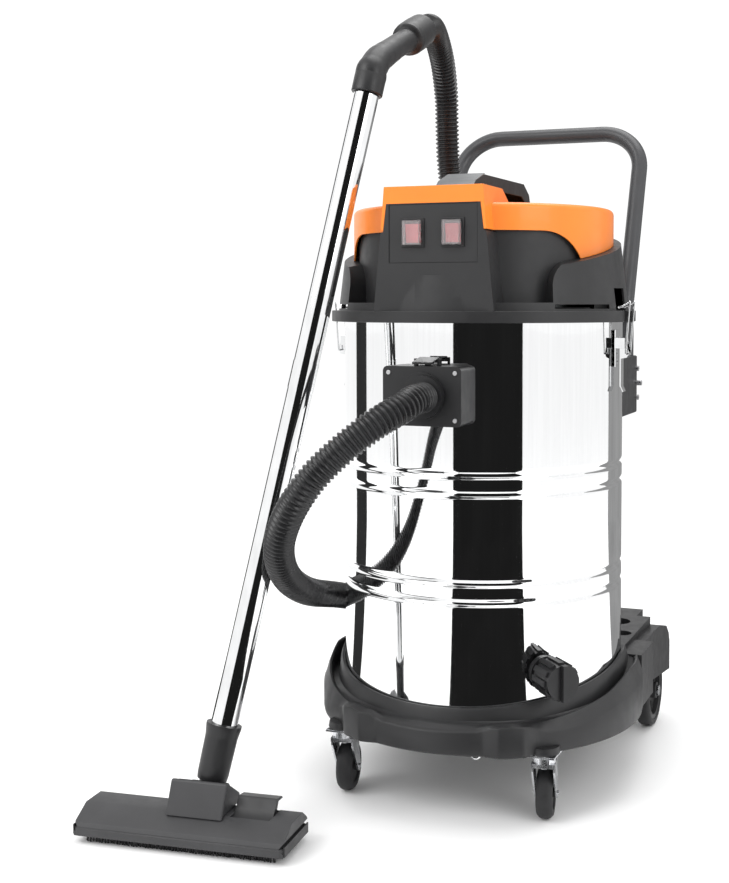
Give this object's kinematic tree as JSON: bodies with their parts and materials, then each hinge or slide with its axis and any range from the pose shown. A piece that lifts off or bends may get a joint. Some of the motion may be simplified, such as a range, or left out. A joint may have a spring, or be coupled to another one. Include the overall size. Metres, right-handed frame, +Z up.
{
  "type": "shop vacuum",
  "caption": "Wheeled wet and dry shop vacuum with a polished steel tank, lift-off motor head, corrugated hose, steel wand and floor tool.",
  "frame": {"origin": "on the floor, under the middle of the machine, the hose, wand and floor tool left out", "axes": "+Z up, +Y towards the push handle, +X to the right seen from the front"},
  "size_m": [0.6999, 0.8814, 1.2294],
  "materials": {
    "tank_steel": "mirror polished stainless steel",
    "black_plastic": "fine textured moulded plastic",
    "charcoal_plastic": "satin textured moulded plastic",
    "orange_plastic": "satin moulded plastic",
    "grey_plastic": "satin",
    "clear_cover": "clear soft plastic",
    "rocker_red": "translucent gloss",
    "chrome": "bright plated",
    "zinc": "zinc plated",
    "screw_steel": "plain",
    "handle_paint": "satin powder coat",
    "rubber": "matt",
    "tyre": "matt moulded rubber",
    "hose_plastic": "ribbed satin plastic",
    "filter_cloth": "woven cotton",
    "motor_casing": "cast",
    "float_plastic": "moulded",
    "bristle": "nylon bristle"
  },
  "bodies": {
    "base_and_tank": {"tank_shell": "tank_steel", "inlet_box": "black_plastic", "inlet_elbow": "black_plastic", "inlet_screws": "screw_steel", "drain_spout": "black_plastic", "drain_nut": "black_plastic", "latch_brackets": "chrome", "filter_ring": "rubber", "filter_cloth": "filter_cloth", "trolley_base": "charcoal_plastic", "rear_shelf": "charcoal_plastic", "antistatic_chain": "chrome", "caster_mounts": "zinc", "rear_axle": "zinc", "push_handle": "handle_paint", "handle_brackets": "charcoal_plastic", "handle_bolts": "screw_steel", "hose_cuff": "black_plastic", "hose_tube": "hose_plastic", "hand_grip": "black_plastic", "wand_tubes": "chrome", "tool_neck": "black_plastic"},
    "motor_head": {"head_ring": "charcoal_plastic", "rim_gasket": "rubber", "head_housing": "charcoal_plastic", "top_cover": "orange_plastic", "switch_panel": "charcoal_plastic", "switch_bezels": "black_plastic", "splash_covers": "clear_cover", "lift_handle": "charcoal_plastic", "lift_handle_plate": "grey_plastic", "motor_deck": "charcoal_plastic", "motor_casings": "motor_casing", "float_cage": "black_plastic", "cable_gland": "black_plastic"},
    "rocker_left": {"rocker_left": "rocker_red"},
    "rocker_right": {"rocker_right": "rocker_red"},
    "rotor_left": {"motor_rotor_left": "motor_casing"},
    "rotor_right": {"motor_rotor_right": "motor_casing"},
    "float": {"float_cup": "float_plastic"},
    "lever_left": {"latch_lever_left": "chrome"},
    "lever_right": {"latch_lever_right": "chrome"},
    "wire_left": {"latch_wire_left": "chrome"},
    "wire_right": {"latch_wire_right": "chrome"},
    "fork_left": {"caster_fork_left": "zinc"},
    "fork_right": {"caster_fork_right": "zinc"},
    "caster_left": {"caster_wheel_left": "tyre"},
    "caster_right": {"caster_wheel_right": "tyre"},
    "rear_wheel_left": {"rear_hub_left": "charcoal_plastic", "rear_tyre_left": "tyre"},
    "rear_wheel_right": {"rear_hub_right": "charcoal_plastic", "rear_tyre_right": "tyre"},
    "drain_seal": {"drain_washer": "rubber"},
    "drain_cap": {"drain_cap": "black_plastic"},
    "hose_release": {"release_tab": "black_plastic"},
    "floor_tool": {"tool_body": "charcoal_plastic", "tool_hood": "charcoal_plastic", "tool_end_caps": "black_plastic"},
    "tool_pedal": {"tool_pedal": "black_plastic"},
    "tool_brushes": {"tool_brushes": "bristle"}
  },
  "joints": [
    {"name": "head_lift", "type": "slide", "parent": "base_and_tank", "child": "motor_head", "axis": [0, 0, 1], "range_m": [0, 0.14]},
    {"name": "rocker_left_press", "type": "hinge", "parent": "motor_head", "child": "rocker_left", "pos_m": [-0.0305, -0.27992, 0.849], "axis": [1, 0, 0], "range_deg": [-16, 0]},
    {"name": "rocker_right_press", "type": "hinge", "parent": "motor_head", "child": "rocker_right", "pos_m": [0.0305, -0.27992, 0.849], "axis": [1, 0, 0], "range_deg": [-16, 0]},
    {"name": "motor_spin_left", "type": "hinge", "parent": "motor_head", "child": "rotor_left", "pos_m": [-0.088, -0.06392, 0.79], "axis": [0, 0, 1], "continuous": true},
    {"name": "motor_spin_right", "type": "hinge", "parent": "motor_head", "child": "rotor_right", "pos_m": [0.088, -0.06392, 0.79], "axis": [0, 0, 1], "continuous": true},
    {"name": "float_rise", "type": "slide", "parent": "motor_head", "child": "float", "axis": [0, 0, 1], "range_m": [0, 0.07]},
    {"name": "latch_left", "type": "hinge", "parent": "base_and_tank", "child": "lever_left", "pos_m": [-0.232, -0.08192, 0.688], "axis": [0, 1, 0], "range_deg": [0, 110]},
    {"name": "latch_right", "type": "hinge", "parent": "base_and_tank", "child": "lever_right", "pos_m": [0.232, -0.08192, 0.688], "axis": [0, -1, 0], "range_deg": [0, 110]},
    {"name": "wire_swing_left", "type": "hinge", "parent": "lever_left", "child": "wire_left", "pos_m": [-0.238, -0.08192, 0.672], "axis": [0, 1, 0], "range_deg": [-99.5, 0]},
    {"name": "wire_swing_right", "type": "hinge", "parent": "lever_right", "child": "wire_right", "pos_m": [0.238, -0.08192, 0.672], "axis": [0, -1, 0], "range_deg": [-99.5, 0]},
    {"name": "caster_swivel_left", "type": "hinge", "parent": "base_and_tank", "child": "fork_left", "pos_m": [-0.158, -0.25192, 0.09], "axis": [0, 0, 1], "continuous": true},
    {"name": "caster_swivel_right", "type": "hinge", "parent": "base_and_tank", "child": "fork_right", "pos_m": [0.158, -0.25192, 0.09], "axis": [0, 0, 1], "continuous": true},
    {"name": "caster_roll_left", "type": "hinge", "parent": "fork_left", "child": "caster_left", "pos_m": [-0.16251, -0.22632, 0.0375], "axis": [0.9848, 0.1736, 0], "continuous": true},
    {"name": "caster_roll_right", "type": "hinge", "parent": "fork_right", "child": "caster_right", "pos_m": [0.15349, -0.22632, 0.0375], "axis": [0.9848, 0.1736, 0], "continuous": true},
    {"name": "rear_roll_left", "type": "hinge", "parent": "base_and_tank", "child": "rear_wheel_left", "pos_m": [-0.207, 0.24108, 0.062], "axis": [1, 0, 0], "continuous": true},
    {"name": "rear_roll_right", "type": "hinge", "parent": "base_and_tank", "child": "rear_wheel_right", "pos_m": [0.207, 0.24108, 0.062], "axis": [1, 0, 0], "continuous": true},
    {"name": "drain_seal_out", "type": "slide", "parent": "base_and_tank", "child": "drain_seal", "axis": [0.682, -0.7314, 0], "range_m": [0, 0.012]},
    {"name": "drain_unscrew", "type": "hinge", "parent": "drain_seal", "child": "drain_cap", "pos_m": [0.17732, -0.25408, 0.213], "axis": [0.682, -0.7314, 0], "range_deg": [0, 1440]},
    {"name": "hose_release_press", "type": "hinge", "parent": "base_and_tank", "child": "hose_release", "pos_m": [0.002, -0.30992, 0.666], "axis": [1, 0, 0], "range_deg": [-12, 0], "stiffness_Nm_per_rad": 0.02, "springref_deg": 17.19},
    {"name": "floor_tool_tilt", "type": "hinge", "parent": "base_and_tank", "child": "floor_tool", "pos_m": [-0.27397, -0.45332, 0.05661], "axis": [0.9945, 0.1045, 0], "range_deg": [-10, 40]},
    {"name": "pedal_rock", "type": "hinge", "parent": "floor_tool", "child": "tool_pedal", "pos_m": [-0.19352, -0.46296, 0.044], "axis": [0.9945, 0.1045, 0], "range_deg": [-12, 0]},
    {"name": "brush_retract", "type": "slide", "parent": "floor_tool", "child": "tool_brushes", "axis": [0, 0, 1], "range_m": [0, 0.0045]}
  ],
  "couplings": [
    {"joint": "wire_swing_left", "follows": "latch_left", "ratio": -0.9},
    {"joint": "wire_swing_right", "follows": "latch_right", "ratio": -0.9},
    {"joint": "drain_seal_out", "follows": "drain_unscrew", "m_per_rad": 0.00047699},
    {"joint": "brush_retract", "follows": "pedal_rock", "m_per_rad": -0.021464}
  ]
}
